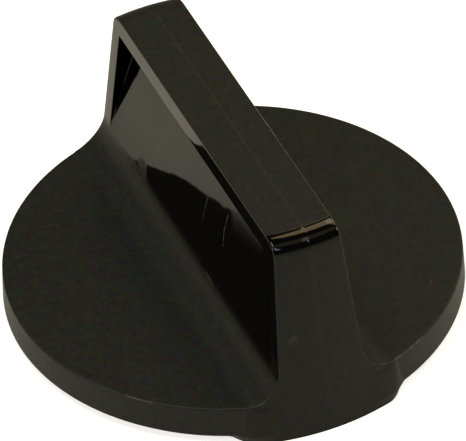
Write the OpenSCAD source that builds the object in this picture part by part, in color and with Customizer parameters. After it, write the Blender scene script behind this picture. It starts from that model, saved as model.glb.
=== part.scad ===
// Appliance control knob: a round skirt with a straight bar grip and a pointer foot,
// moulded in one piece, and the steel spring clip round its hub.
// Millimetres. Z points out of the panel, the pointer end looks along -Y,
// the origin is on the shaft axis in the plane of the skirt's lower face.

/* [Skirt] */
// Diameter of the skirt at its top edge
skirt_diameter = 57; // [50:0.5:70]
// Height of the skirt
skirt_height = 5.2; // [5:0.1:7]
// Extra radius that the skirt's wall gains towards its foot
skirt_draft = 0.15; // [0.05:0.05:0.4]
// Radius of the skirt's top edge
skirt_edge = 0.4; // [0.2:0.1:0.8]
// Bevel round the skirt's lower edge
skirt_bevel = 1.1; // [0.5:0.1:1.5]
// Thickness of the skirt's wall
skirt_wall = 2; // [1.5:0.1:3]
// Thickness of the skirt's plate
plate = 2.2; // [1.6:0.1:2.4]

/* [Grip] */
// Height of the knob, from the lower face to the top of the grip
knob_height = 27.2; // [25:0.2:34]
// Width of the grip's top
grip_width = 8.5; // [8:0.1:12]
// Lean of the grip's sides, in degrees
side_lean = 4.2; // [3:0.1:5]
// Lean of the grip's two ends, in degrees
end_lean = 9; // [5:0.5:12]
// Radius of the bend between the grip's top and its ends
bend_radius = 2.1; // [1:0.1:2.4]
// Radius of the flare between the grip's sides and the skirt
flare_radius = 4.4; // [3:0.1:5]
// How much wider than the flare the foot is on each side, at the lower face
foot_spread = 0.8; // [0.2:0.1:1.5]
// Radius of the foot's corners, seen from above
foot_round = 4; // [1:0.1:4.4]

/* [Side pockets] */
// Width of the frame above the pocket
frame_top = 2.45; // [1.8:0.05:3.2]
// Width of the frame before and behind the pocket
frame_end = 2.2; // [1.6:0.05:3]
// Thickness of the web between the two pockets at their upper edge
web_top = 2.86; // [2:0.02:4]
// Height of the pocket's lower edge above the skirt
pocket_rise = 3.6; // [3:0.1:5]

/* [Cores inside the grip] */
// Thickness of the wall beside and before the cores
core_wall = 2; // [1.5:0.1:2.5]
// How far the cores reach above the pocket's lower edge
core_reach = 7; // [4:0.5:9]

/* [Hub and bore] */
// Diameter of the control's shaft
shaft_diameter = 6; // [5.4:0.05:6.4]
// Width of the shaft across its flat
shaft_flat = 4.6; // [4:0.05:4.8]
// Gap between the shaft and the seat that turns it, all round
shaft_gap = 0.05; // [0.02:0.01:0.09]
// Gap between the shaft and the round mouth of the bore
mouth_gap = 0.25; // [0.22:0.01:0.35]
// Depth of the round mouth of the bore
mouth_depth = 5; // [4:0.5:6]
// Depth of the whole bore
bore_depth = 13; // [11:0.5:13]
// Diameter of the hub
hub_diameter = 13; // [12:0.5:15]
// How far the hub stays behind the skirt's lower face
hub_recess = 0.4; // [0.2:0.1:0.5]
// Width of the hub's two slits
slit_width = 1.2; // [0.8:0.1:1.6]
// Thickness of the ribs under the skirt
rib_width = 1.4; // [1:0.1:2]
// Gap between the hub and the ribs, which leaves room for the clip
rib_gap = 0.8; // [0.4:0.1:2]

/* [Spring clip] */
// Thickness of the clip's steel strip
clip_thickness = 0.8; // [0.6:0.05:1]
// Height of the clip's steel strip
clip_height = 1.5; // [1.2:0.05:1.5]
// Gap between the clip and the walls of its groove
clip_gap = 0.05; // [0.03:0.01:0.1]
// Width of the clip's opening
clip_opening = 5; // [4:0.5:7]

/* [Hidden] */
$fn = 96;
skirt_r = skirt_diameter / 2;
foot_r = skirt_r + skirt_draft;
inner_r = skirt_r - skirt_wall;
hollow_z = skirt_height - plate;
// grip
half_top = grip_width / 2;
side_k = tan(side_lean);
end_k = tan(end_lean);
grip_h = knob_height - skirt_height;
side_foot = half_top + side_k * grip_h;
flare_run = flare_radius * tan((90 - side_lean) / 2);
flare_x = side_foot + flare_run;
flare_z = skirt_height + flare_radius + 0.02;
// ends of the grip are one cone round the shaft's axis
cone_r = skirt_r + 0.05;
cone_low = cone_r + end_k * skirt_height;
cone_top = cone_r - end_k * grip_h;
bend_back = bend_radius * tan((90 - end_lean) / 2);
// corners of the foot, rounded so that they run out in the cone
foot_x = flare_x + foot_spread;
round_x = foot_x - foot_round;
round_y = sqrt(pow(cone_low, 2) - pow(round_x, 2)) - foot_round;
// pocket
pocket_low = skirt_height + pocket_rise;
pocket_top = knob_height - frame_top;
pocket_x = flare_x - sqrt(pow(flare_radius, 2) - pow(flare_z - pocket_low, 2)) - 0.02;
pocket_half = half_top + side_k * (knob_height - pocket_top);
floor_k = (pocket_x - web_top / 2) / (pocket_top - pocket_low);
end_top = sqrt(pow(cone_r - end_k * (pocket_top - skirt_height), 2) - pow(pocket_half, 2));
end_low = sqrt(pow(cone_r - end_k * (pocket_low - skirt_height), 2) - pow(pocket_x, 2));
// hub
bore_r = shaft_diameter / 2 + shaft_gap;
mouth_r = shaft_diameter / 2 + mouth_gap;
mouth_z = hub_recess + mouth_depth;
flat_x = shaft_flat - shaft_diameter / 2 + shaft_gap;
hub_r = hub_diameter / 2;
groove_r = hub_r - clip_thickness - clip_gap;
clip_z = hub_recess + 0.4;
// coring inside the grip
core_top = pocket_low + core_reach;
core_low_x = pocket_x - core_wall;
core_top_x = core_low_x - floor_k * core_reach;
core_end = end_low - frame_end + 1 - core_wall;

module half_profile() {
    // outline of one half of the grip and its flare, seen along the pointer
    difference() {
        polygon([
            [0, 0], [foot_x, 0], [flare_x, skirt_height + 0.02], [flare_x, flare_z],
            [side_foot - side_k * (flare_z - skirt_height), flare_z],
            [half_top + side_k * 0.25, knob_height - 0.25], [half_top - 0.25, knob_height], [0, knob_height]
        ]);
        translate([flare_x, flare_z]) circle(r = flare_radius);
    }
}

module side_profile() {
    half_profile();
    mirror([1, 0]) half_profile();
}

module end_section() {
    // half section of the cone that bounds the grip's ends, with the rounded bend
    bend_x = cone_top - bend_back;
    polygon([
        [0, 0], [cone_low, 0],
        [cone_top + end_k * bend_back * cos(end_lean), knob_height - bend_back * cos(end_lean)],
        [bend_x, knob_height - bend_radius], [bend_x, knob_height], [0, knob_height]
    ]);
    intersection() {
        translate([bend_x, knob_height - bend_radius]) circle(r = bend_radius);
        translate([bend_x - 0.01, knob_height - bend_radius - 0.01]) square(bend_radius * 2);
    }
}

module plan() {
    // outline of the grip and its foot, seen from above
    square([2 * round_x, 3 * skirt_r], center = true);
    square([2 * foot_x, 2 * round_y], center = true);
    for (x = [-round_x, round_x], y = [-round_y, round_y])
        translate([x, y]) circle(r = foot_round);
}

module grip() {
    intersection() {
        rotate([90, 0, 0]) linear_extrude(height = 3 * skirt_r, center = true) side_profile();
        rotate_extrude() end_section();
        linear_extrude(height = knob_height) plan();
    }
}

module skirt() {
    rotate_extrude() {
        polygon([
            [0, 0], [foot_r - skirt_bevel, 0], [foot_r, skirt_bevel],
            [skirt_r, skirt_height - skirt_edge], [skirt_r - skirt_edge, skirt_height - skirt_edge],
            [skirt_r - skirt_edge, skirt_height], [0, skirt_height]
        ]);
        intersection() {
            translate([skirt_r - skirt_edge, skirt_height - skirt_edge]) circle(r = skirt_edge);
            translate([skirt_r - skirt_edge - 0.01, skirt_height - skirt_edge - 0.01]) square(skirt_edge * 2);
        }
    }
}

module pocket() {
    // the hollow on the +X side of the grip
    intersection() {
        rotate([90, 0, 90]) linear_extrude(height = flare_x)
            polygon([
                [-end_low + frame_end, pocket_low - 0.15], [end_low - frame_end, pocket_low - 0.15],
                [end_top - frame_end, pocket_top], [-end_top + frame_end, pocket_top]
            ]);
        rotate([90, 0, 0]) linear_extrude(height = 3 * skirt_r, center = true)
            polygon([
                [pocket_x + floor_k * 0.2, pocket_low - 0.2], [flare_x + 1, pocket_low - 0.2],
                [flare_x + 1, knob_height], [pocket_x - floor_k * (knob_height - pocket_low), knob_height]
            ]);
    }
}

module core() {
    // the hollow inside the grip on the -Y side of the hub
    intersection() {
        rotate([90, 0, 0]) linear_extrude(height = 3 * skirt_r)
            polygon([
                [-core_low_x, -1], [core_low_x, -1], [core_low_x, pocket_low],
                [core_top_x, core_top], [-core_top_x, core_top], [-core_low_x, pocket_low]
            ]);
        translate([-20, -core_end, hollow_z - 0.5]) cube([40, core_end - hub_r + 0.2, 40]);
    }
}

module ribs() {
    for (turn = [35, 145, 215, 325]) {
        rotate([0, 0, turn]) translate([hub_r + rib_gap, -rib_width / 2, hub_recess + 0.8])
            cube([inner_r - hub_r, rib_width, hollow_z]);
    }
}

module hub() {
    difference() {
        translate([0, 0, hub_recess]) cylinder(r = hub_r, h = hollow_z + 0.5 - hub_recess);
        translate([0, 0, clip_z]) difference() {
            cylinder(r = hub_r + 1, h = clip_height + 2 * clip_gap);
            translate([0, 0, -1]) cylinder(r = groove_r, h = clip_height + 3);
        }
    }
}

module bore() {
    // round mouth with a lead-in
    translate([0, 0, hub_recess - 1]) cylinder(r = mouth_r, h = mouth_depth + 1);
    translate([0, 0, hub_recess - 0.01]) cylinder(r1 = mouth_r + 0.5, r2 = mouth_r, h = 0.51);
    // seat with the flat that turns the shaft, and the cone that leads into it
    intersection() {
        union() {
            translate([0, 0, mouth_z - 0.1]) cylinder(r1 = mouth_r, r2 = bore_r, h = 0.5);
            translate([0, 0, hub_recess]) cylinder(r = bore_r, h = bore_depth);
        }
        translate([-10, -10, hub_recess]) cube([10 + flat_x, 20, bore_depth]);
    }
}

module knob_body() {
    color([0.13, 0.13, 0.12]) difference() {
        union() {
            difference() {
                union() {
                    skirt();
                    grip();
                }
                translate([0, 0, -1]) cylinder(r = inner_r, h = hollow_z + 1);
                core();
                mirror([0, 1, 0]) core();
            }
            intersection() {
                ribs();
                cylinder(r = inner_r + 0.3, h = hollow_z + 0.2);
            }
            hub();
        }
        pocket();
        mirror([1, 0, 0]) pocket();
        bore();
        // slits that let the clip draw the hub on to the shaft
        translate([-slit_width / 2, -hub_r - 1, -1]) cube([slit_width, hub_diameter + 2, mouth_depth + hub_recess]);
    }
}

module spring_clip() {
    color([0.72, 0.73, 0.75]) translate([0, 0, clip_z + clip_gap]) difference() {
        cylinder(r = groove_r + clip_gap + clip_thickness, h = clip_height);
        translate([0, 0, -1]) cylinder(r = groove_r + clip_gap, h = clip_height + 2);
        translate([0, -clip_opening / 2, -1]) cube([hub_diameter, clip_opening, clip_height + 2]);
    }
}

knob_body();
spring_clip();
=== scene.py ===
"""Looks of a moulded control knob: satin skirt and strip, polished sides, steel clip, on a pale floor."""
import math

import bmesh
import bpy
import numpy as np
from mathutils import Matrix, Vector


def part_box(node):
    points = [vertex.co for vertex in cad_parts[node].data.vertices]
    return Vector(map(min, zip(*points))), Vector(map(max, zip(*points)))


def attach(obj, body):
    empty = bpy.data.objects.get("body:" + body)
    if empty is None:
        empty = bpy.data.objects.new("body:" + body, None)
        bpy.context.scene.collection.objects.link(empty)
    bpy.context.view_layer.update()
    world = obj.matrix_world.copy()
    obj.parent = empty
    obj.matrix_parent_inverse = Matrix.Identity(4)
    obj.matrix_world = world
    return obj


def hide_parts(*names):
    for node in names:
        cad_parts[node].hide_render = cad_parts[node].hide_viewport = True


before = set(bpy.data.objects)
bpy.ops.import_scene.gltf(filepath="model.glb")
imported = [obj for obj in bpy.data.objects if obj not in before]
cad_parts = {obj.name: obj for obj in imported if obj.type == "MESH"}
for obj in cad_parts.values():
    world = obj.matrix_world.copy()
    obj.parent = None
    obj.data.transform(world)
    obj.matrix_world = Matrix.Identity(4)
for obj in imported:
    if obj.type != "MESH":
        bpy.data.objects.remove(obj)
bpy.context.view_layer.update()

MM = 0.001
IMAGE_WIDTH = 466

# Camera, as fitted to the photograph: turn round Z, height, roll, distance and lens
VIEW_TURN = math.radians(-21.2398)
VIEW_HEIGHT = math.radians(41.4203)
VIEW_ROLL = math.radians(-3.3349)
VIEW_DISTANCE = 900 * MM
VIEW_TARGET = Vector((0, 0, 1.187 * MM))
FOCAL_PIXELS = 7267.64
SENSOR = 36
SHIFT_X = -0.00147
SHIFT_Y = 0.1234
# Strength that the floor glows with, as the camera and as a reflection sees it
SEEN_GLOW = 0.8
MIRRORED_GLOW = 0.36
# Half width of the floor, in metres
FLOOR_REACH = 3.0

# Colours of the satin, the polish, and of worn places and painted glints, and how much the satin's linear
# colour varies
SATIN_COLOUR = "1e1e1a"
POLISH_COLOUR = "040403"
WEAR_AND_GLINT_COLOUR = "4a483e"
MOTTLE = 0.028
# Roughness of the satin from its smoothest to its coarsest grain, of the polish and of worn places and
# painted glints
SATIN_ROUGH = (0.4, 0.56)
POLISH_ROUGH = 0.05
WEAR_AND_GLINT_ROUGH = 0.5
# Specular level at which the polish mirrors as dimly as black plastic does in the photograph
ABS_SPECULAR = 0.2
# Noise cells to the millimetre: clouds of colour, grain, slow waves of the wall and gaps in the marks
CLOUDS_PER_MM = 1.2
GRAIN_PER_MM = 5.0
WAVES_PER_MM = 0.2
GAPS_PER_MM = 1.6
# Relief in millimetres: of the grain, and of the slow waves on the sides and on the pocket floors
GRAIN_RELIEF = 0.05
SIDE_WAVES = 0.01
POCKET_WAVES = 0.04
# Heights between which the polish of the sides turns into satin
POLISH_LOW_Z = 9.4
SATIN_HIGH_Z = 7.6
# Height on the front bend below which it is satin, and how softly the polish ends there and on the strip
BEND_SATIN_Z = 25.9
BEND_FADE_LOW = 0.4
BEND_FADE_BEHIND = 0.3
# Hollow of the pocket floors: how far it leans the surface, how it steepens lower down and where it ends
SINK_LEAN = math.radians(1.4)
SINK_FOOT_Z = 14
SINK_CURVE = 0.0051
SINK_END_Z = 8.4
SINK_END_SOFT = 1.2
# Marks, each as its points, half width and strength: three scratches and a scuff on the pocket floor
POCKET_MARKS = (
    (((-2.62, -1.78, 20.23), (-3.55, -1.69, 16.65), (-4.37, -1.67, 13.55)), 0.08, 0.8),
    (((-3.09, -7.28, 18.41), (-3.72, -7.23, 16.03), (-4.19, -7.81, 14.24)), 0.09, 0.9),
    (((-3.9, 12.6, 15.2), (-4.9, 13.0, 11.5)), 0.08, 0.8),
    (((-5.75, -5.5, 8.5), (-5.7, -7.3, 8.4)), 0.4, 0.4),
)
# Patches rubbed dull on the pocket floor, given in the same way
RUBBED = (
    (((-5.4, 15.4, 9.7), (-5.8, 14.0, 7.9)), 1.7, 0.6),
    (((-2.6, -9.5, 18.8), (-2.5, -15.5, 20.6)), 2.4, 0.16),
)
# On the satin: two specks, three painted glints along the rim's edge, the mould line on strip and end
SATIN_MARKS_AND_GLINTS = (
    (((20.05, -15.2, 5.2), (19.6, -16.1, 5.2)), 0.2, 0.6),
    (((-3.6, -27.0, 13.8), (-3.2, -27.0, 14.0)), 0.7, 0.5),
    # painted highlights: these three light strokes along the rim's edge stand in for its glints
    (((-21.8, -18.29, 5.14), (-20.6, -19.63, 5.14), (-19.6, -20.63, 5.14)), 0.16, 0.9),
    (((-8.55, -27.2, 5.45), (-8.0, -27.32, 5.66), (-7.6, -27.4, 5.9)), 0.18, 1.0),
    (((9.95, -26.66, 5.14), (12.48, -25.58, 5.14), (14.8, -24.31, 5.14)), 0.2, 1.0),
    (((0.32, 22.4, 27.2), (0.32, -22.4, 27.2)), 0.3, 0.13),
    (((0.1, -25.4, 25.4), (0.1, -26.5, 18.0), (0.2, -27.4, 12.0), (0.15, -28.6, 4.0)), 0.3, 0.14),
)
# Painted glints on the front bend, drawn as light dull strokes: two on the mould line and one at a corner,
# and their colour
BEND_PAINTED_GLINTS = (
    (((0.3, -22.95, 27.17), (0.2, -23.3, 27.12)), 0.34, 0.7),
    (((0.3, -24.4, 26.8), (-0.3, -24.45, 26.77)), 0.35, 0.25),
    (((3.7, -23.05, 27.14), (4.1, -23.3, 27.07)), 0.55, 1.0),
)
BEND_GLINT_COLOUR = "7a7268"
# Share of a mark's half width that has its full strength
MARK_CORE = 0.3


def linear(code):
    """sRGB hex code as linear red, green, blue and alpha."""
    channels = [int(code[i:i + 2], 16) / 255 for i in (0, 2, 4)]
    return [c / 12.92 if c < 0.04045 else ((c + 0.055) / 1.055) ** 2.4 for c in channels] + [1]


def add(tree, kind, inputs=None, **settings):
    """Adds a node to a tree; an input is a plain value or the output socket it is linked to."""
    made = tree.nodes.new(kind)
    for name, value in settings.items():
        setattr(made, name, value)
    for key, value in (inputs or {}).items():
        if isinstance(value, bpy.types.NodeSocket):
            tree.links.new(value, made.inputs[key])
        else:
            made.inputs[key].default_value = value
    return made


def highest(tree, masks):
    """Mask that is the highest of several masks at each place."""
    top = masks[0]
    for mask in masks[1:]:
        top = add(tree, "ShaderNodeMath", {0: top, 1: mask}, operation="MAXIMUM").outputs[0]
    return top


def new_object(name, data):
    made = bpy.data.objects.new(name, data)
    bpy.context.scene.collection.objects.link(made)
    return made


def new_material(name):
    material = bpy.data.materials.new(name)
    material.use_nodes = True
    material.node_tree.nodes.clear()
    return material, material.node_tree


def make_camera():
    back = Vector((math.sin(VIEW_TURN) * math.cos(VIEW_HEIGHT),
                   -math.cos(VIEW_TURN) * math.cos(VIEW_HEIGHT), math.sin(VIEW_HEIGHT)))
    right = Vector((math.cos(VIEW_TURN), math.sin(VIEW_TURN), 0))
    up = back.cross(right)
    right, up = (right * math.cos(VIEW_ROLL) + up * math.sin(VIEW_ROLL),
                 up * math.cos(VIEW_ROLL) - right * math.sin(VIEW_ROLL))
    camera = new_object("camera", bpy.data.cameras.new("camera"))
    axes = Matrix((right, up, back)).transposed()
    camera.matrix_world = Matrix.Translation(VIEW_TARGET + back * VIEW_DISTANCE) @ axes.to_4x4()
    camera.data.sensor_width = SENSOR
    camera.data.lens = FOCAL_PIXELS / IMAGE_WIDTH * SENSOR
    camera.data.shift_x = SHIFT_X
    camera.data.shift_y = SHIFT_Y
    camera.data.clip_end = 20
    bpy.context.scene.camera = camera


def floor_material():
    """Matt white card: a lit white ground that keeps the knob's shadow."""
    material, tree = new_material("matt_white_card")
    paths = add(tree, "ShaderNodeLightPath")
    mirrored = highest(tree, [paths.outputs["Is Glossy Ray"], paths.outputs["Is Transmission Ray"]])
    mirrored = add(tree, "ShaderNodeMath", {0: mirrored, 1: MIRRORED_GLOW}, operation="MULTIPLY").outputs[0]
    glow = add(tree, "ShaderNodeMath", {0: paths.outputs["Is Camera Ray"], 1: SEEN_GLOW, 2: mirrored},
               operation="MULTIPLY_ADD")
    shader = add(tree, "ShaderNodeBsdfPrincipled",
                 {"Base Color": linear("d0c8b0"), "Roughness": 0.9, "Specular IOR Level": 0.1,
                  "Emission Color": linear("f9f8fa"), "Emission Strength": glow.outputs[0]})
    add(tree, "ShaderNodeOutputMaterial", {"Surface": shader.outputs[0]})
    return material


def make_floor():
    mesh = bpy.data.meshes.new("floor")
    corners = [(x * FLOOR_REACH, y * FLOOR_REACH, 0) for x, y in ((-1, -1), (1, -1), (1, 1), (-1, 1))]
    mesh.from_pydata(corners, [], [(0, 1, 2, 3)])
    mesh.materials.append(floor_material())
    new_object("floor", mesh)


def area_lamp(name, place, size, power, colour, height=None):
    """A soft lamp that faces the knob, round, or upright where it has a height; in millimetres and watts."""
    lamp = new_object(name, bpy.data.lights.new(name, "AREA"))
    lamp.data.shape = "RECTANGLE" if height else "DISK"
    lamp.data.size = size * MM
    lamp.data.size_y = (height or size) * MM
    lamp.data.energy = power
    lamp.data.color = linear(colour)[:3]
    lamp.location = Vector(place) * MM
    lamp.rotation_mode = "QUATERNION"
    lamp.rotation_quaternion = (-lamp.location).to_track_quat("-Z", "Y")


def make_lights():
    world = bpy.data.worlds.new("studio")
    bpy.context.scene.world = world
    world.use_nodes = True
    world.node_tree.nodes["Background"].inputs["Color"].default_value = linear("d8d2c4")
    world.node_tree.nodes["Background"].inputs["Strength"].default_value = 0.07
    # broad daylight from above, a weaker lamp high on the right, and white cards to the left, back and right
    area_lamp("daylight", (-210, 50, 945), 480, 4.8, "f6fdf2")
    area_lamp("high_right", (560, -160, 520), 220, 0.42, "ffdcc0")
    area_lamp("left_card", (-410, -50, 235), 130, 0.7, "fff0d4")
    area_lamp("far_card", (-460, 440, 50), 220, 0.17, "fff0d8", 80)
    area_lamp("right_card", (410, -50, 235), 130, 0.8, "fff4e0")
    # small lamps whose mirror images are the glints and the golden, dim and blue places on the bend
    area_lamp("side_lamp", (770, 450, 440), 120, 0.8, "fff4e4")
    area_lamp("warm_lamp", (188, 214, 431), 150, 0.25, "ffe0a6")
    area_lamp("dim_reflector", (135, -110, 470), 200, 0.07, "ffe6b0")
    area_lamp("blue_window", (14, -245, 433), 50, 0.3, "b8d4ff", 170)


def abs_colour(tree, place):
    """Colour of the black ABS: near black, mottled in all colours by clouds under a millimetre wide."""
    clouds = add(tree, "ShaderNodeTexNoise",
                 {"Vector": place, "Scale": CLOUDS_PER_MM, "Detail": 3.0, "Roughness": 0.6})
    darkest = [channel - MOTTLE / 2 for channel in linear(SATIN_COLOUR)[:3]]
    return add(tree, "ShaderNodeVectorMath", {0: clouds.outputs["Color"], 1: [MOTTLE] * 3, 2: darkest},
               operation="MULTIPLY_ADD").outputs[0]


def side_satin(tree, place):
    """Share of satin on the sides: none on the frames and pockets, full down the flare."""
    split = add(tree, "ShaderNodeSeparateXYZ", {0: place})
    return add(tree, "ShaderNodeMapRange", {0: split.outputs["Z"], 1: POLISH_LOW_Z, 2: SATIN_HIGH_Z},
               interpolation_type="SMOOTHSTEP").outputs[0]


def bend_satin(tree, place):
    """Share of satin round the front bend: none on the bend, full on the strip behind and the end below."""
    split = add(tree, "ShaderNodeSeparateXYZ", {0: place})
    flat = add(tree, "ShaderNodeVectorMath", {0: place, 1: (1, 1, 0)}, operation="MULTIPLY")
    reach = add(tree, "ShaderNodeVectorMath", {0: flat.outputs[0]}, operation="LENGTH")
    behind = add(tree, "ShaderNodeMapRange",
                 {0: reach.outputs["Value"], 1: TOP_R + BEND_FADE_BEHIND, 2: TOP_R},
                 interpolation_type="SMOOTHSTEP")
    below = add(tree, "ShaderNodeMapRange",
                {0: split.outputs["Z"], 1: BEND_SATIN_Z + BEND_FADE_LOW, 2: BEND_SATIN_Z},
                interpolation_type="SMOOTHSTEP")
    return highest(tree, [behind.outputs[0], below.outputs[0]])


def stroke(tree, place, points, width, strength):
    """Mask that has its strength on a line through the points and is 0 at width in millimetres beside it."""
    stretches = []
    for start, end in zip(points, points[1:]):
        along = Vector(end) - Vector(start)
        offset = add(tree, "ShaderNodeVectorMath", {0: place, 1: start}, operation="SUBTRACT")
        share = add(tree, "ShaderNodeVectorMath", {0: offset.outputs[0], 1: along / along.length_squared},
                    operation="DOT_PRODUCT")
        share = add(tree, "ShaderNodeClamp", {0: share.outputs["Value"]})
        foot = add(tree, "ShaderNodeVectorMath", {0: along, "Scale": share.outputs[0]}, operation="SCALE")
        away = add(tree, "ShaderNodeVectorMath", {0: offset.outputs[0], 1: foot.outputs[0]},
                   operation="DISTANCE")
        stretch = add(tree, "ShaderNodeMapRange",
                      {0: away.outputs["Value"], 1: width, 2: width * MARK_CORE, 4: strength},
                      interpolation_type="SMOOTHSTEP")
        stretches.append(stretch.outputs[0])
    return highest(tree, stretches)


def marks(tree, place, strokes):
    """Mask of scratches, specks, rubbed places and painted glints, given as strokes and broken up by noise.
    """
    mask = highest(tree, [stroke(tree, place, *given) for given in strokes])
    gaps = add(tree, "ShaderNodeTexNoise", {"Vector": place, "Scale": GAPS_PER_MM, "Detail": 2.0})
    gaps = add(tree, "ShaderNodeMapRange", {0: gaps.outputs[0], 1: 0.35, 2: 0.6, 3: 0.3, 4: 1.0})
    return add(tree, "ShaderNodeMath", {0: mask, 1: gaps.outputs[0]}, operation="MULTIPLY").outputs[0]


def sink(tree, place):
    """Height in millimetres of a pocket floor's slight hollow, which lifts the skirt's mirror image."""
    split = add(tree, "ShaderNodeSeparateXYZ", {0: place})
    # the hollow fades out where the floor turns into the flare
    rise = add(tree, "ShaderNodeMath", {0: split.outputs["Z"], 1: SINK_END_Z, 2: SINK_END_SOFT},
               operation="SMOOTH_MAX")
    lean = add(tree, "ShaderNodeMath", {0: rise.outputs[0], 1: -math.tan(SINK_LEAN)}, operation="MULTIPLY")
    below = add(tree, "ShaderNodeMath", {0: SINK_FOOT_Z, 1: rise.outputs[0]}, operation="SUBTRACT")
    below = add(tree, "ShaderNodeMath", {0: below.outputs[0], 1: 0}, operation="MAXIMUM")
    curve = add(tree, "ShaderNodeMath", {0: below.outputs[0], 1: 2}, operation="POWER")
    return add(tree, "ShaderNodeMath", {0: curve.outputs[0], 1: SINK_CURVE, 2: lean.outputs[0]},
               operation="MULTIPLY_ADD").outputs[0]


def pocket_satin(tree, place):
    """Share of satin on the pocket floors: that of the sides, and the patches rubbed dull."""
    return highest(tree, [side_satin(tree, place)] + [stroke(tree, place, *patch) for patch in RUBBED])


def abs_material(name, strokes, satin_share=None, hollow=None, waves=SIDE_WAVES, wear_and_glint_colour=WEAR_AND_GLINT_COLOUR):
    """Black ABS moulded against a spark-eroded tool, and where satin_share is given partly a polished one.

    The satin breaks up every highlight; the polish is a dark mirror that shows the floor and the skirt."""
    material, tree = new_material(name)
    place = add(tree, "ShaderNodeTexCoord").outputs["Object"]
    place = add(tree, "ShaderNodeMapping", {"Vector": place, "Scale": [1 / MM] * 3}).outputs[0]
    colour = abs_colour(tree, place)
    # grain of a fine erosion finish is under 0.05 mm; it is drawn at 0.2 mm so that it shows
    grain = add(tree, "ShaderNodeTexNoise",
                {"Vector": place, "Scale": GRAIN_PER_MM, "Detail": 3.0, "Roughness": 0.65})
    height = grain.outputs[0]
    rough = add(tree, "ShaderNodeMapRange", {0: height, 3: SATIN_ROUGH[0], 4: SATIN_ROUGH[1]}).outputs[0]
    if satin_share:
        satin = satin_share(tree, place)
        height = add(tree, "ShaderNodeMath", {0: height, 1: satin}, operation="MULTIPLY").outputs[0]
        rough = add(tree, "ShaderNodeMix", {0: satin, 2: POLISH_ROUGH, 3: rough}).outputs[0]
        colour = add(tree, "ShaderNodeMix", {0: satin, 6: linear(POLISH_COLOUR), 7: colour},
                     data_type="RGBA").outputs[2]
    if strokes:
        marked = marks(tree, place, strokes)
        # marks take a light colour and a dull finish: real scratches and specks, and painted glints on the
        # rim's edge and the bend
        rough = add(tree, "ShaderNodeMix", {0: marked, 2: rough, 3: WEAR_AND_GLINT_ROUGH}).outputs[0]
        colour = add(tree, "ShaderNodeMix", {0: marked, 6: colour, 7: linear(wear_and_glint_colour)},
                     data_type="RGBA").outputs[2]
    bump = add(tree, "ShaderNodeBump", {"Height": height, "Strength": 0.6, "Distance": GRAIN_RELIEF * MM})
    if satin_share:
        # slow waves that shrinkage leaves in a thick wall; they bend the mirror image
        swell = add(tree, "ShaderNodeTexNoise", {"Vector": place, "Scale": WAVES_PER_MM, "Detail": 1.0})
        swell = add(tree, "ShaderNodeMath",
                    {0: swell.outputs[0], 1: waves, 2: hollow(tree, place) if hollow else 0},
                    operation="MULTIPLY_ADD")
        bump = add(tree, "ShaderNodeBump", {"Height": swell.outputs[0], "Strength": 1.0, "Distance": MM,
                                            "Normal": bump.outputs[0]})
    shader = add(tree, "ShaderNodeBsdfPrincipled",
                 {"Base Color": colour, "Roughness": rough, "Specular IOR Level": ABS_SPECULAR,
                  "Normal": bump.outputs[0]})
    add(tree, "ShaderNodeOutputMaterial", {"Surface": shader.outputs[0]})
    return material


def steel_material():
    """Rolled spring steel, bright with fine lengthwise lines, drawn 0.1 mm apart so that they show."""
    material, tree = new_material("rolled_spring_steel")
    place = add(tree, "ShaderNodeTexCoord").outputs["Object"]
    streaks = add(tree, "ShaderNodeMapping", {"Vector": place, "Scale": (400, 400, 9000)})
    lines = add(tree, "ShaderNodeTexNoise", {"Vector": streaks.outputs[0], "Scale": 1.0, "Detail": 2.0})
    rough = add(tree, "ShaderNodeMapRange", {0: lines.outputs[0], 3: 0.22, 4: 0.42})
    shader = add(tree, "ShaderNodeBsdfPrincipled",
                 {"Base Color": linear("b9bcc0"), "Metallic": 1.0, "Roughness": rough.outputs[0]})
    add(tree, "ShaderNodeOutputMaterial", {"Surface": shader.outputs[0]})
    return material


# Sizes of the knob in millimetres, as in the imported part
knob_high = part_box("knob_body")[1] / MM
KNOB_HEIGHT = knob_high.z
FOOT_R = knob_high.x
SKIRT_DRAFT = 0.15
SKIRT_R = FOOT_R - SKIRT_DRAFT
SKIRT_HEIGHT = 5.2
SKIRT_EDGE = 0.25
SKIRT_BEVEL = 1.1
INNER_R = SKIRT_R - 2
HOLLOW_TOP = 3.0

# Grip: a bar with leaning sides between two ends cut from one cone
HALF_TOP = 4.25
SIDE_LEAN = math.radians(4.2)
END_LEAN = math.radians(9)
SIDE_K = math.tan(SIDE_LEAN)
END_K = math.tan(END_LEAN)
BEND_R = 2.1
FLARE_R = 4.4
CONE_R = SKIRT_R + 0.05
GRIP_EDGE = 0.25
RIGHT_ANGLE = math.radians(90)
BEND_RUN = BEND_R * math.tan((RIGHT_ANGLE - END_LEAN) / 2)
CONE_TOP = CONE_R - END_K * (KNOB_HEIGHT - SKIRT_HEIGHT)
# the bend eases in earlier on the strip than it leaves the end
BEND_EASE = 0.85
TOP_R = CONE_TOP - BEND_RUN - BEND_EASE
SIDE_FOOT_X = HALF_TOP + SIDE_K * (KNOB_HEIGHT - SKIRT_HEIGHT)
FLARE_X = SIDE_FOOT_X + FLARE_R * math.tan((RIGHT_ANGLE - SIDE_LEAN) / 2)
FLARE_Z = SKIRT_HEIGHT + FLARE_R

# Foot of the grip on the skirt's wall: how far it spreads and how round its corner is, seen from above
FOOT_SPREAD = 0.8
FOOT_ROUND = 4
FOOT_X = FLARE_X + FOOT_SPREAD
ROUND_X = FOOT_X - FOOT_ROUND
LOW_CONE = CONE_R + END_K * SKIRT_HEIGHT
ROUND_Y = math.sqrt(LOW_CONE ** 2 - ROUND_X ** 2) - FOOT_ROUND
CREASE_BLEND = 0.05
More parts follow.
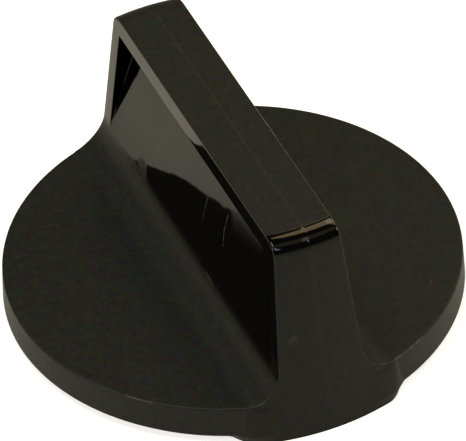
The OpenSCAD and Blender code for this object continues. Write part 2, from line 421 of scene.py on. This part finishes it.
# The rounded corner dies softly into the skirt. Turn round the axis where that starts and over which it
# grows; greatest width of the blend, and its width for each millimetre that the foot stands out, at start
# and end
SOFT_START = math.radians(11.3)
SOFT_SPAN = math.radians(4)
SOFT_WIDTH = (0.9, 2.0)
SOFT_GROWTH = (1.3, 3.5)
LEAST_BLEND = 0.01

# Pockets in the grip's sides
POCKET_TOP = KNOB_HEIGHT - 2.45
POCKET_LOW = SKIRT_HEIGHT + 3.6
FLOOR_TOP_X = 1.43
POCKET_LIP = 0.14
POCKET_FILLET = 0.22
FOOT_FILLET = POCKET_FILLET / 3
# Width of the frame's end posts, and the least that is left of them near the top
POST_WIDTH = 2.2
LEAST_POST = 0.6
# How far the floor's foot lies behind the side, the depth at which its wall is gone and over which it grows
FLOOR_BEHIND = 0.016
WALL_GONE = 0.03
WALL_GROWTH = 0.3
# Most of the pocket's depth that its lip or its fillet takes up
ROUND_SHARE = 0.4

# Raised line where the two halves of the mould met, with the half widths of its crest and its foot
LINE_X = 0.3
LINE_RISE = 0.02
LINE_CREST = 0.05
LINE_FOOT = 0.12
LINE_COLUMNS = tuple(LINE_X + aside for aside in (-LINE_FOOT, -LINE_CREST, LINE_CREST, LINE_FOOT))
LINE_LOW_Z = 0.05


def cone_radius(z):
    """Radius of the cone that bounds the grip's ends."""
    return CONE_R + END_K * (SKIRT_HEIGHT - z)


def side_x(z):
    """Half width of the grip at a height, on its flat side or on the flare."""
    if z >= FLARE_Z - FLARE_R * math.sin(SIDE_LEAN):
        return HALF_TOP + SIDE_K * (KNOB_HEIGHT - z)
    return FLARE_X - math.sqrt(FLARE_R ** 2 - (FLARE_Z - z) ** 2)


def smooth_min(a, b, width):
    """The lower of two numbers, rounded off where they differ by less than width."""
    share = min(1, max(0, 0.5 + 0.5 * (b - a) / width))
    return b + (a - b) * share - width * share * (1 - share)


def wall_radius(turn, z):
    """Distance of the knob's outer wall from the axis, up to the skirt's top; turn 0 is the grip's end."""
    if z >= SKIRT_BEVEL:
        drafted = SKIRT_HEIGHT - SKIRT_EDGE
        skirt = SKIRT_R + SKIRT_DRAFT * (drafted - z) / (drafted - SKIRT_BEVEL)
    else:
        skirt = FOOT_R - (SKIRT_BEVEL - z)
    foot = cone_radius(z)
    # rounded corner of the foot, as seen from above, and the foot's flank
    off = math.atan2(ROUND_X, ROUND_Y) - turn
    away = math.hypot(ROUND_X, ROUND_Y)
    if FOOT_ROUND > abs(away * math.sin(off)) and turn > math.atan2(ROUND_X, ROUND_Y + FOOT_ROUND):
        corner = away * math.cos(off) + math.sqrt(FOOT_ROUND ** 2 - (away * math.sin(off)) ** 2)
        foot = smooth_min(foot, corner, CREASE_BLEND)
    elif turn > math.atan2(ROUND_X, ROUND_Y):
        foot = 0
    flank = (FLARE_X + FOOT_SPREAD * (1 - z / SKIRT_HEIGHT)) / max(math.sin(turn), 1e-6)
    foot = smooth_min(foot, flank, CREASE_BLEND)
    soft = min(1, max(0, (turn - SOFT_START) / SOFT_SPAN))
    widest, growth = (first + (last - first) * soft for first, last in (SOFT_WIDTH, SOFT_GROWTH))
    blend = max(LEAST_BLEND, min(widest, (cone_radius(z) - skirt) * growth))
    return -smooth_min(-skirt, -foot, blend)


def wall_point(turn, z):
    radius = wall_radius(turn, z)
    return [radius * math.sin(turn), radius * math.cos(turn), z]


def floor_x(z):
    """Half thickness of the web between the two pocket floors."""
    low_x = side_x(POCKET_LOW) - FLOOR_BEHIND
    return low_x + (FLOOR_TOP_X - low_x) * (z - POCKET_LOW) / (POCKET_TOP - POCKET_LOW)


def pocket_y(z):
    """Half length of the pocket at a height; its end walls follow the lean of the ends."""
    top = math.sqrt(cone_radius(POCKET_TOP) ** 2 - side_x(POCKET_TOP) ** 2)
    low = math.sqrt(cone_radius(POCKET_LOW) ** 2 - side_x(POCKET_LOW) ** 2)
    return top + (low - top) * (POCKET_TOP - z) / (POCKET_TOP - POCKET_LOW) - POST_WIDTH


def frame_start(z, end_y):
    """Where the frame's end post starts along the side at a height; end_y is where the side ends."""
    return min(pocket_y(z) + POCKET_LIP, end_y - LEAST_POST)


def bezier(start, control, end, steps):
    """Points of a curve from start to end that leans toward the control point."""
    start, control, end = (np.array(p, float) for p in (start, control, end))
    shares = [i / steps for i in range(steps + 1)]
    return [(1 - s) ** 2 * start + 2 * s * (1 - s) * control + s * s * end for s in shares]


# How many faces each stretch of the shell is divided into
POCKET_COLUMNS = 12
FRAME_COLUMNS = 3
BEND_ROWS = 14
POCKET_ROWS = 18
FLARE_ROWS = 14
FRONT_COLUMNS = 20
EDGE_STEPS = 4
LIP_STEPS = 3
# Turns in degrees past the foot of the first columns of the rim, which crowd where the foot dies out
RIM_TURNS = (0.15, 0.35, 0.6, 0.9, 1.3, 1.8, 2.5, 3.4, 4.6, 6.0)
RIM_COLUMNS = 30
# Heights of the rows on the skirt's wall below its rounded edge
WALL_HEIGHTS = (4.3, 3.5, 2.6, 1.8, 1.3, SKIRT_BEVEL, 0.9, 0.5, 0.12, 0)
# Share of the half length, on the flare and the disc, at which the columns below the frame's end post start
POST_SHARE = 0.915
# Distances in millimetres under which points are merged and edges are taken as nothing
MERGE = 0.0005
NOTHING = 0.0002


def edge_rows():
    """Rows of the shell in one quarter, from the middle of the top edge round to the middle of the skirt.

    Each row holds the rounded edge's three points (on the side, at the corner and on the strip or end),
    the height at which the row leaves the middle planes, and which surface it is on."""
    rows = []
    top_side_z = KNOB_HEIGHT - GRIP_EDGE
    top_y = math.sqrt(TOP_R ** 2 - HALF_TOP ** 2)
    near = frame_start(top_side_z, top_y)
    shares = [near / top_y * c / POCKET_COLUMNS for c in range(POCKET_COLUMNS)]
    shares += [(near + (top_y - near) * c / FRAME_COLUMNS) / top_y for c in range(FRAME_COLUMNS + 1)]
    for share in shares:
        strip_x = HALF_TOP - GRIP_EDGE
        rows.append(dict(
            kind="top", share=share,
            side=(side_x(top_side_z), share * top_y, top_side_z),
            corner=(HALF_TOP, share * top_y, KNOB_HEIGHT),
            strip=(strip_x, share * math.sqrt(TOP_R ** 2 - strip_x ** 2), KNOB_HEIGHT)))
    pocket_lip_z = POCKET_TOP + POCKET_LIP
    bend_drop = BEND_RUN * math.cos(END_LEAN)
    bend_end = (CONE_TOP + END_K * bend_drop, KNOB_HEIGHT - bend_drop)
    bend = bezier((TOP_R, KNOB_HEIGHT), (CONE_TOP, KNOB_HEIGHT), bend_end, BEND_ROWS)
    last_z = bend_end[1] - GRIP_EDGE * math.sin(END_LEAN)
    for k in range(1, BEND_ROWS + 1):
        share = k / BEND_ROWS
        run = (1 - share) * (CONE_TOP - TOP_R) + share * (bend_end[0] - CONE_TOP)
        turn = math.atan2(share * bend_drop, run)
        radius, z = bend[k]
        x = side_x(z)
        y = math.sqrt(radius ** 2 - x ** 2)
        side_z = z - GRIP_EDGE * math.cos(turn)
        rows.append(dict(
            kind="bend", radius=radius, z=z,
            middle=top_side_z + (last_z - top_side_z) * k / BEND_ROWS,
            side=(side_x(side_z), y - GRIP_EDGE * math.sin(turn), side_z),
            corner=(x, y, z),
            strip=(x - GRIP_EDGE, math.sqrt(radius ** 2 - (x - GRIP_EDGE) ** 2), z)))
    heights = [pocket_lip_z + (POCKET_LOW - POCKET_LIP / 2 - pocket_lip_z) * n / POCKET_ROWS
               for n in range(POCKET_ROWS + 1)]
    for z in heights:
        rows.append(front_row("wall", side_x(z), z, SIDE_LEAN, GRIP_EDGE, z))
    first = math.asin((FLARE_Z - heights[-1]) / FLARE_R)
    low_middle = SKIRT_HEIGHT - SKIRT_EDGE
    for n in range(1, FLARE_ROWS + 1):
        turn = first + (RIGHT_ANGLE - first) * n / FLARE_ROWS
        edge = GRIP_EDGE + (SKIRT_EDGE - GRIP_EDGE) * n / FLARE_ROWS
        x = FLARE_X - FLARE_R * math.cos(turn)
        z = FLARE_Z - FLARE_R * math.sin(turn)
        middle = heights[-1] + (low_middle - heights[-1]) * n / FLARE_ROWS
        rows.append(front_row("flare", x, z, turn, edge, middle))
    rows[-1]["strip"] = wall_point(math.atan2(*rows[-1]["strip"][:2]), low_middle)
    start = math.atan2(*rows[-1]["strip"][:2])
    turns = [start + math.radians(degrees) for degrees in RIM_TURNS]
    turns += list(np.linspace(turns[-1], RIGHT_ANGLE, RIM_COLUMNS)[1:])
    for turn in turns:
        radius = wall_radius(turn, low_middle)
        # the edge's inner points lie straight behind it at the foot, and toward the axis further on
        grown = min(1, (turn - start) / math.radians(RIM_TURNS[-1]))
        aim = np.array([math.sin(turn) * grown, 1 - grown + math.cos(turn) * grown])
        corner = radius * np.array([math.sin(turn), math.cos(turn)])
        side = corner - SKIRT_EDGE * aim
        if turn == turns[-1]:
            side[1] = corner[1] = 0
        rows.append(dict(kind="rim", side=(*side, SKIRT_HEIGHT),
                         corner=(*corner, SKIRT_HEIGHT), strip=wall_point(turn, low_middle)))
    rows[-1]["strip"][1] = 0
    return rows


def front_row(kind, x, z, turn, edge, middle):
    """Row that crosses the grip's end on the cone; turn is how far the side's normal has tipped up."""
    strip_x = x - edge * math.cos(turn)
    strip_z = z - edge * math.sin(turn)
    y = math.sqrt(cone_radius(z) ** 2 - x ** 2)
    return dict(kind=kind, z=z, middle=middle,
                side=(x, y - edge, z), corner=(x, y, z),
                strip=(strip_x, math.sqrt(cone_radius(strip_z) ** 2 - strip_x ** 2), strip_z))


def strip_line(row):
    """Points of a row on the top strip, the bend or the end, from the middle to the rounded edge."""
    end_x, _, end_z = row["strip"]
    line = []
    last = LINE_COLUMNS[-1]
    columns = [0, *LINE_COLUMNS]
    columns += [last + (end_x - last) * k / FRONT_COLUMNS for k in range(1, FRONT_COLUMNS + 1)]
    for x in columns[:-1]:
        if row["kind"] == "top":
            line.append([x, row["share"] * math.sqrt(TOP_R ** 2 - x ** 2), KNOB_HEIGHT])
        elif row["kind"] == "bend":
            line.append([x, math.sqrt(row["radius"] ** 2 - x ** 2), row["z"]])
        else:
            z = row["middle"] + (end_z - row["middle"]) * x / end_x
            line.append([x, math.sqrt(cone_radius(z) ** 2 - x ** 2), z])
    return line + [list(row["strip"])]


def side_line(row):
    """Points of a row on the side, flare or disc, from the middle plane to the rounded edge."""
    end_x, end_y, end_z = row["side"]
    if row["kind"] in ("top", "bend", "wall"):
        near = frame_start(end_z, end_y)
    else:
        near = end_y * POST_SHARE
    line = []
    columns = [near * c / POCKET_COLUMNS for c in range(POCKET_COLUMNS)]
    columns += [near + (end_y - near) * c / FRAME_COLUMNS for c in range(FRAME_COLUMNS + 1)]
    middle = row.get("middle", end_z) if row["kind"] == "bend" else end_z
    for y in columns:
        z = middle + (end_z - middle) * (y / end_y if end_y else 1)
        x = side_x(z) if row["kind"] in ("top", "bend", "wall") else end_x
        line.append([x, y, z])
    line[-1] = list(row["side"])
    return line


def pocket_patches(outer):
    """Lip, walls and floor of one quarter's half pocket; outer holds the side's rows over the pocket."""
    lip_z = POCKET_TOP + POCKET_LIP
    low_z = outer[-1][0][2]
    top_in, low_in = POCKET_TOP - POCKET_FILLET, POCKET_LOW + FOOT_FILLET
    floor = []
    edge = []
    for line in outer:
        share = (line[0][2] - lip_z) / (low_z - lip_z)
        z = top_in + (low_in - top_in) * share
        wall_z = POCKET_TOP + (POCKET_LOW - POCKET_TOP) * share
        end_y = pocket_y(wall_z)
        floor.append([[floor_x(z), (end_y - POCKET_FILLET) * c / POCKET_COLUMNS, z]
                      for c in range(POCKET_COLUMNS + 1)])
        edge.append([[end_y * c / POCKET_COLUMNS, wall_z] for c in range(POCKET_COLUMNS + 1)])
    last = len(outer) - 1
    loop = [(0, c) for c in range(POCKET_COLUMNS + 1)]
    loop += [(r, POCKET_COLUMNS) for r in range(1, last + 1)]
    loop += [(last, c) for c in range(POCKET_COLUMNS - 1, -1, -1)]
    ring = []
    for r, c in loop:
        y, z = edge[r][c]
        high_x, deep_x = side_x(z), floor_x(z)
        depth = high_x - deep_x
        lip, fillet = (min(full, depth * ROUND_SHARE) for full in (POCKET_LIP, POCKET_FILLET))
        over = bezier(outer[r][c], (high_x, y, z), (high_x - lip, y, z), LIP_STEPS)
        under = bezier((deep_x + fillet, y, z), (deep_x, y, z), floor[r][c], LIP_STEPS)
        # the wall dies out where the floor runs out into the flare
        wall = over + under
        start, end = np.array(outer[r][c]), np.array(floor[r][c])
        grown = min(1, max(0, (depth - WALL_GONE) / WALL_GROWTH))
        straight = [start + (end - start) * i / (len(wall) - 1) for i in range(len(wall))]
        ring.append([flat + (full - flat) * grown for flat, full in zip(straight, wall)])
    return floor, ring


# Material slots of the knob
SATIN, POLISH, BEND, POCKET = 0, 1, 2, 3


def quads(points, finish, skip=lambda r, c: False):
    """Four-sided faces of a grid of points, each with its corner points and finish."""
    made = []
    for r in range(len(points) - 1):
        for c in range(len(points[0]) - 1):
            if not skip(r, c):
                made.append(([points[r][c], points[r][c + 1], points[r + 1][c + 1], points[r + 1][c]],
                             finish(r, c) if callable(finish) else finish))
    return made


def shell_faces():
    """Faces of one quarter of the knob's outer shell."""
    rows = edge_rows()
    kinds = [row["kind"] for row in rows]
    last_front = max(i for i, kind in enumerate(kinds) if kind == "flare")
    tops = kinds.count("top")

    def strip_finish(r, c):
        return BEND if kinds[r + 1] == "bend" else SATIN

    def edge_finish(r, c):
        if kinds[r + 1] in ("top", "wall") and c < EDGE_STEPS / 2:
            return POLISH
        return strip_finish(r, c)

    def side_finish(r, c):
        if r >= polish_to:
            return SATIN
        return POLISH if r < wall[-1] else POCKET

    strip = [strip_line(row) for row in rows[:last_front + 1]]
    strip[-1] = [wall_point(math.atan2(p[0], p[1]), p[2]) for p in strip[-1][:-1]] + [strip[-1][-1]]
    faces = quads(strip, strip_finish)
    corners = [bezier(row["side"], row["corner"], row["strip"], EDGE_STEPS) for row in rows]
    faces += quads(corners, edge_finish)
    # side of the grip, flare and disc, with the pocket left out
    side_rows = rows[tops - 1:]
    side = [side_line(row) for row in side_rows]
    wall = [i for i, row in enumerate(side_rows) if row["kind"] == "wall"]
    polish_to = max(i for i, row in enumerate(side_rows)
                    if row["kind"] == "flare" and row["z"] > SATIN_HIGH_Z)
    faces += quads(side, side_finish, lambda r, c: wall[0] <= r < wall[-1] and c < POCKET_COLUMNS)
    floor, ring = pocket_patches([side[i][:POCKET_COLUMNS + 1] for i in wall])
    faces += quads(floor, POCKET) + quads(ring, POCKET)
    # outer wall of the skirt and the foot
    upper = strip[-1] + [row["strip"] for row in rows[last_front + 1:]]
    wall_grid = [upper]
    for z in WALL_HEIGHTS:
        wall_grid.append([wall_point(math.atan2(p[0], p[1]), z) for p in upper])
        wall_grid[-1][-1][1] = 0
    return faces + quads(wall_grid, SATIN)


def shell_object():
    """Closed outer shell, mirrored from one quarter, with the raised mould line."""
    shell = bmesh.new()
    for corners, finish in shell_faces():
        for sx in (1, -1):
            for sy in (1, -1):
                face = shell.faces.new([shell.verts.new((p[0] * sx, p[1] * sy, p[2])) for p in corners])
                # only the front bend is polished
                face.material_index = SATIN if finish == BEND and sy > 0 else finish
    bmesh.ops.remove_doubles(shell, verts=shell.verts, dist=MERGE)
    bmesh.ops.dissolve_degenerate(shell, edges=shell.edges, dist=NOTHING)
    rim = [e for e in shell.edges if e.is_boundary]
    bmesh.ops.contextual_create(shell, geom=rim)
    bmesh.ops.recalc_face_normals(shell, faces=shell.faces)
    shell.normal_update()
    crest_reach = (LINE_CREST + LINE_FOOT) / 2
    for v in shell.verts:
        if abs(v.co.x - LINE_X) < crest_reach and v.co.z > LINE_LOW_Z:
            v.co += v.normal * LINE_RISE
    bmesh.ops.scale(shell, vec=(MM, MM, MM), verts=shell.verts)
    mesh = bpy.data.meshes.new("knob_shell")
    shell.to_mesh(mesh)
    shell.free()
    return new_object("knob", mesh)


# Hollow side: hub with its bore, the clip's groove and the slits, ribs, and cores inside the grip
HOLLOW_FILLET = 0.5
INNER_CHAMFER = 0.3
HUB_R = 6.5
HUB_LOW = 0.4
HUB_EDGE = 0.3
GROOVE_R = 5.65
GROOVE_LOW = 0.8
GROOVE_TOP = 2.4
MOUTH_R = 3.25
MOUTH_TOP = 5.4
MOUTH_CHAMFER = 0.5
BORE_R = 3.05
BORE_TOP = 13.4
FLAT_X = 1.65
SLIT_HALF = 0.6
SLIT_TOP = 4.4
SLIT_REACH = 7.5
RIB_START = 7.3
RIB_HALF = 0.7
RIB_LOW = 1.2
RIB_EDGE = 0.3
RIB_TURN = 35
RIB_COUNT = 4
CORE_NEAR = 6.3
CORE_FAR = 24.21
CORE_MIDDLE = (CORE_NEAR + CORE_FAR) / 2
CORE_LOW_X = 3.61
CORE_TOP_X = 1.78
CORE_TOP = 15.8
CORE_ROUND = 0.4
CORE_CORNER = CORE_ROUND * 1.2
CORE_STEPS = 4
# How far cutting tools reach past the surface, and the hub and the ribs into the plate and the skirt's wall
CUT_PAST = 1
HUB_INTO_PLATE = 0.4
RIB_INTO_PLATE = 0.2
RIB_INTO_WALL = 0.3
# The step from the mouth to the bore is a slim cone: how far it starts below, ends above and reaches inward
STEP_BELOW = 0.15
STEP_ABOVE = 0.08
STEP_INWARD = 0.04
# Angle from which an edge is shown sharp, and how strongly large faces lead the normals (50 is evenly)
SHARP_FROM = math.radians(32)
LARGE_FACE_LEAD = 60


def mesh_object(name, solid):
    """Object of a closed bmesh drawn in millimetres."""
    bmesh.ops.remove_doubles(solid, verts=solid.verts, dist=MERGE)
    bmesh.ops.recalc_face_normals(solid, faces=solid.faces)
    bmesh.ops.scale(solid, vec=(MM, MM, MM), verts=solid.verts)
    mesh = bpy.data.meshes.new(name)
    solid.to_mesh(mesh)
    solid.free()
    return new_object(name, mesh)


def turned(name, outline, steps=120):
    """Solid of revolution round Z of an outline of (radius, z) points that starts and ends on the axis."""
    solid = bmesh.new()
    rings = [[(r * math.cos(2 * math.pi * s / steps), r * math.sin(2 * math.pi * s / steps), z)
              for s in range(steps + 1)] for r, z in outline]
    for low, high in zip(rings, rings[1:]):
        for s in range(steps):
            corners = [tuple(round(c, 6) for c in p) for p in (low[s], low[s + 1], high[s + 1], high[s])]
            # on the axis two corners are one point
            solid.faces.new([solid.verts.new(p) for p in dict.fromkeys(corners)])
    return mesh_object(name, solid)


def slab(name, outline, low, high, axis):
    """Straight solid of a closed outline between two places along an axis."""
    solid = bmesh.new()

    def place(p, along):
        return {"x": (along, p[0], p[1]), "y": (p[0], along, p[1]), "z": (p[0], p[1], along)}[axis]

    ends = [[solid.verts.new(place(p, along)) for p in outline] for along in (low, high)]
    for ring in ends:
        solid.faces.new(ring)
    for i in range(len(outline)):
        j = (i + 1) % len(outline)
        solid.faces.new((ends[0][i], ends[0][j], ends[1][j], ends[1][i]))
    return mesh_object(name, solid)


def core_tool(side):
    """Cavity inside the grip on one side of the hub, round at its corners, slimmer between the pockets."""
    levels = [(-CUT_PAST, CORE_LOW_X, 0), (POCKET_LOW, CORE_LOW_X, 0)]
    slope = (CORE_TOP_X - CORE_LOW_X) / (CORE_TOP - POCKET_LOW)
    for k in range(CORE_STEPS + 1):
        turn = RIGHT_ANGLE * k / CORE_STEPS
        z = CORE_TOP - CORE_ROUND + CORE_ROUND * math.sin(turn)
        levels.append((z, CORE_LOW_X + slope * (z - POCKET_LOW), CORE_ROUND * (1 - math.cos(turn))))
    rings = []
    for z, half, inset in levels:
        ring = []
        for start, x, y in ((0, half, CORE_FAR), (90, -half, CORE_FAR),
                            (180, -half, CORE_NEAR), (270, half, CORE_NEAR)):
            centre = (x - math.copysign(CORE_CORNER, x), y - math.copysign(CORE_CORNER, y - CORE_MIDDLE))
            ring += arc(centre, CORE_CORNER - inset, start, start + 90)
        rings.append([(px * side, py * side, z) for px, py in ring])
    solid = bmesh.new()
    count = len(rings[0])
    for low, high in zip(rings, rings[1:]):
        for i in range(count):
            j = (i + 1) % count
            solid.faces.new([solid.verts.new(p) for p in (low[i], low[j], high[j], high[i])])
    for ring in (rings[0], rings[-1]):
        solid.faces.new([solid.verts.new(p) for p in ring])
    return mesh_object("core", solid)


def combine(piece, tool, operation):
    """Applies one boolean step to the piece and takes the tool away."""
    step = piece.modifiers.new("step", "BOOLEAN")
    step.operation = operation
    step.object = tool
    step.solver = "EXACT"
    graph = bpy.context.evaluated_depsgraph_get()
    piece.data = bpy.data.meshes.new_from_object(piece.evaluated_get(graph))
    piece.modifiers.clear()
    bpy.data.objects.remove(tool)


def arc(centre, radius, start, end, steps=5):
    """Points of an arc in the (radius, z) plane, angles in degrees."""
    angles = [math.radians(start + (end - start) * i / steps) for i in range(steps + 1)]
    return [(centre[0] + radius * math.cos(a), centre[1] + radius * math.sin(a)) for a in angles]


def ribs_object():
    """Four ribs between the hub and the skirt, set round the axis by Geometry Nodes."""
    side, roof, low = RIB_HALF - RIB_EDGE, HOLLOW_TOP + RIB_INTO_PLATE, RIB_LOW + RIB_EDGE
    outline = [(-RIB_HALF, roof)] + arc((-side, low), RIB_EDGE, 180, 270, 4)
    outline += arc((side, low), RIB_EDGE, 270, 360, 4) + [(RIB_HALF, roof)]
    rib = slab("rib", outline, RIB_START, INNER_R + RIB_INTO_WALL, "x")
    tree = bpy.data.node_groups.new("ribs_round_the_axis", "GeometryNodeTree")
    tree.is_modifier = True
    face = tree.interface
    face.new_socket("Geometry", in_out="INPUT", socket_type="NodeSocketGeometry")
    face.new_socket("Geometry", in_out="OUTPUT", socket_type="NodeSocketGeometry")
    face.new_socket("First turn", in_out="INPUT", socket_type="NodeSocketFloat")
    face.new_socket("Count", in_out="INPUT", socket_type="NodeSocketInt")
    face.new_socket("Finish", in_out="INPUT", socket_type="NodeSocketMaterial")
    given = add(tree, "NodeGroupInput")
    index = add(tree, "GeometryNodeInputIndex")
    # two ribs stand close to each end of the grip, so every second step is wider
    odd = add(tree, "ShaderNodeMath", {0: index.outputs[0], 1: 2.0}, operation="MODULO")
    quarter = add(tree, "ShaderNodeMath", {0: index.outputs[0], 1: RIGHT_ANGLE}, operation="MULTIPLY")
    wider = add(tree, "ShaderNodeMath", {0: odd.outputs[0], 1: RIGHT_ANGLE - 2 * math.radians(RIB_TURN)},
                operation="MULTIPLY")
    turn = add(tree, "ShaderNodeMath", {0: quarter.outputs[0], 1: wider.outputs[0]}, operation="ADD")
    turn = add(tree, "ShaderNodeMath", {0: turn.outputs[0], 1: given.outputs["First turn"]},
               operation="ADD")
    spin = add(tree, "ShaderNodeCombineXYZ", {"Z": turn.outputs[0]})
    centres = add(tree, "GeometryNodeMeshLine", {"Count": given.outputs["Count"], "Offset": (0, 0, 0)})
    placed = add(tree, "GeometryNodeInstanceOnPoints",
                 {"Points": centres.outputs[0], "Instance": given.outputs["Geometry"],
                  "Rotation": spin.outputs[0]})
    real = add(tree, "GeometryNodeRealizeInstances", {0: placed.outputs[0]})
    dressed = add(tree, "GeometryNodeSetMaterial",
                  {"Geometry": real.outputs[0], "Material": given.outputs["Finish"]})
    add(tree, "NodeGroupOutput", {"Geometry": dressed.outputs[0]})
    maker = rib.modifiers.new("ribs", "NODES")
    maker.node_group = tree
    values = {"First turn": math.radians(RIB_TURN), "Count": RIB_COUNT,
              "Finish": bpy.data.materials["moulded_black_abs"]}
    for socket in face.items_tree:
        if socket.name in values:
            maker[socket.identifier] = values[socket.name]
    graph = bpy.context.evaluated_depsgraph_get()
    rib.data = bpy.data.meshes.new_from_object(rib.evaluated_get(graph))
    rib.modifiers.clear()
    return rib


def knob_object():
    """The moulded knob: closed outer shell, hollowed from below, with the hub, its bore and the ribs."""
    knob = shell_object()
    # the satin's and the bend's marks include painted glints: light strokes where highlights fall
    for finish in (abs_material("moulded_black_abs", SATIN_MARKS_AND_GLINTS),
                   abs_material("polished_black_abs", (), side_satin),
                   abs_material("polished_bend_abs", BEND_PAINTED_GLINTS, bend_satin, wear_and_glint_colour=BEND_GLINT_COLOUR),
                   abs_material("polished_pocket_abs", POCKET_MARKS, pocket_satin, sink, POCKET_WAVES)):
        knob.data.materials.append(finish)
    satin = bpy.data.materials["moulded_black_abs"]

    def step(tool, operation):
        if not tool.data.materials:
            tool.data.materials.append(satin)
        combine(knob, tool, operation)

    hollow = [(0, -CUT_PAST), (INNER_R + INNER_CHAMFER + CUT_PAST, -CUT_PAST), (INNER_R, INNER_CHAMFER)]
    hollow += arc((INNER_R - HOLLOW_FILLET, HOLLOW_TOP - HOLLOW_FILLET), HOLLOW_FILLET, 0, 90)
    hollow += [(0, HOLLOW_TOP)]
    step(turned("hollow", hollow), "DIFFERENCE")
    for side in (1, -1):
        step(core_tool(side), "DIFFERENCE")
    step(ribs_object(), "UNION")
    hub_top = HOLLOW_TOP + HUB_INTO_PLATE
    hub = [(0, HUB_LOW), (HUB_R - HUB_EDGE, HUB_LOW), (HUB_R, HUB_LOW + HUB_EDGE), (HUB_R, GROOVE_LOW),
           (GROOVE_R, GROOVE_LOW), (GROOVE_R, GROOVE_TOP), (HUB_R, GROOVE_TOP), (HUB_R, hub_top),
           (0, hub_top)]
    step(turned("hub", hub), "UNION")
    flat_turn = math.degrees(math.acos(FLAT_X / BORE_R))
    seat = arc((0, 0), BORE_R, flat_turn, 360 - flat_turn, 72)
    step(slab("seat", seat, MOUTH_TOP - CUT_PAST, BORE_TOP, "z"), "DIFFERENCE")
    rim_r, step_top = MOUTH_R + MOUTH_CHAMFER, MOUTH_TOP + STEP_ABOVE
    mouth = [(0, HUB_LOW - CUT_PAST), (rim_r, HUB_LOW - CUT_PAST), (rim_r, HUB_LOW),
             (MOUTH_R, HUB_LOW + MOUTH_CHAMFER), (MOUTH_R, MOUTH_TOP - STEP_BELOW),
             (BORE_R - STEP_INWARD, step_top), (0, step_top)]
    step(turned("mouth", mouth, 96), "DIFFERENCE")
    slit = [(-SLIT_HALF, -CUT_PAST), (SLIT_HALF, -CUT_PAST), (SLIT_HALF, SLIT_TOP), (-SLIT_HALF, SLIT_TOP)]
    step(slab("slit", slit, -SLIT_REACH, SLIT_REACH, "y"), "DIFFERENCE")
    return knob


def soften(piece):
    """Smooth faces, true edges where they meet at a sharp angle, normals led by the large faces."""
    piece.data.polygons.foreach_set("use_smooth", [True] * len(piece.data.polygons))
    piece.data.set_sharp_from_angle(angle=SHARP_FROM)
    weigh = piece.modifiers.new("weigh", "WEIGHTED_NORMAL")
    weigh.keep_sharp = True
    weigh.weight = LARGE_FACE_LEAD
    graph = bpy.context.evaluated_depsgraph_get()
    piece.data = bpy.data.meshes.new_from_object(piece.evaluated_get(graph))
    piece.modifiers.clear()


make_camera()
make_floor()
make_lights()
knob = knob_object()
soften(knob)
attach(knob, "root")
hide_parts("knob_body")
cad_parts["spring_clip"].data.materials.clear()
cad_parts["spring_clip"].data.materials.append(steel_material())

bpy.context.scene.view_settings.view_transform = "Standard"
